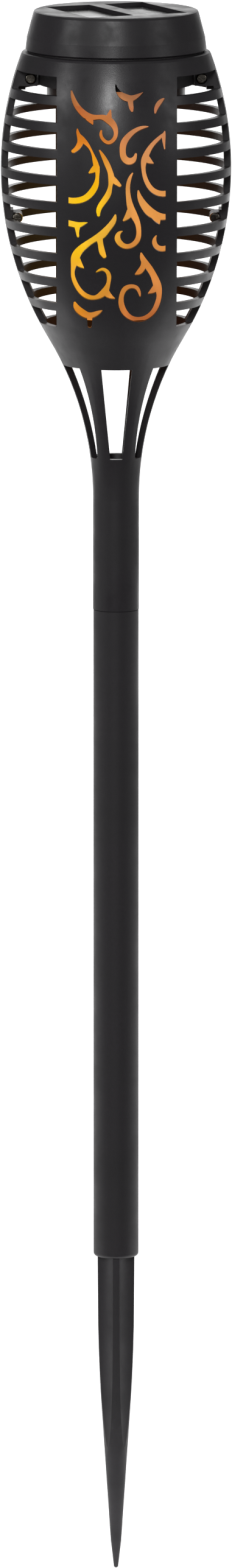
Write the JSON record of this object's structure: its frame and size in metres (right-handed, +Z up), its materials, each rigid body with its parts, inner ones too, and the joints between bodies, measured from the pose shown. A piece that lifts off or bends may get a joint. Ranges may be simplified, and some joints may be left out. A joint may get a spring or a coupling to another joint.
{
  "type": "solar garden torch",
  "caption": "Solar flame-effect garden torch: round lid, slatted basket with scroll cut-outs over an amber diffuser, pole and ground spike.",
  "frame": {"origin": "on the axis at the pole's lower end, which is the ground line once the spike is pushed in", "axes": "+Z up along the pole, -Y towards the front panel"},
  "size_m": [0.076, 0.076, 0.5238],
  "materials": {
    "spike_plastic": "satin moulded",
    "pole_plastic": "satin moulded",
    "cage_plastic": "satin moulded",
    "lid_plastic": "satin moulded",
    "module_plastic": "satin moulded",
    "screw_steel": "black zinc",
    "panel_laminate": "gloss",
    "cell_silicon": "gloss",
    "clear_resin": "clear",
    "seal_rubber": "matte",
    "board_laminate": "solder mask",
    "chip_plastic": "matte",
    "battery_sleeve": "shrink sleeve",
    "contact_metal": "nickel plated",
    "led_lens": "emissive",
    "switch_plastic": "gloss",
    "lead_jacket": "satin",
    "diffuser_plastic": "translucent, emissive"
  },
  "bodies": {
    "spike": {"ground_spike": "spike_plastic"},
    "pole": {"pole_tube": "pole_plastic", "pole_plug": "pole_plastic"},
    "cage": {"cage_front": "cage_plastic", "cage_rear": "cage_plastic", "cage_screws": "screw_steel"},
    "lamp": {"lid_shell": "lid_plastic", "solar_panel": "panel_laminate", "solar_cells": "cell_silicon", "panel_cover": "clear_resin", "module_base": "module_plastic", "lid_seal": "seal_rubber", "lid_screws": "screw_steel", "circuit_board": "board_laminate", "board_chips": "chip_plastic", "battery_cell": "battery_sleeve", "battery_holder": "module_plastic", "battery_contact": "contact_metal", "spring_plate": "contact_metal", "battery_spring": "contact_metal", "led_board": "board_laminate", "flame_leds": "led_lens", "switch_body": "switch_plastic", "panel_leads": "lead_jacket", "switch_leads": "lead_jacket"},
    "diffuser": {"diffuser_tube": "diffuser_plastic", "diffuser_collar": "diffuser_plastic", "diffuser_cap": "diffuser_plastic"},
    "switch": {"switch_slider": "switch_plastic"}
  },
  "joints": [
    {"name": "pole_pull", "type": "slide", "parent": "spike", "child": "pole", "axis": [0, 0, 1], "range_m": [0, 0.035]},
    {"name": "neck_pull", "type": "slide", "parent": "pole", "child": "cage", "axis": [0, 0, 1], "range_m": [0, 0.03]},
    {"name": "lamp_lift", "type": "slide", "parent": "cage", "child": "lamp", "axis": [0, 0, 1], "range_m": [0, 0.1]},
    {"name": "diffuser_twist", "type": "hinge", "parent": "lamp", "child": "diffuser", "pos_m": [0, 0, 0.3906], "axis": [0, 0, 1], "range_deg": [0, 35]},
    {"name": "switch_slide", "type": "slide", "parent": "lamp", "child": "switch", "axis": [1, 0, 0], "range_m": [0, 0.002]}
  ]
}
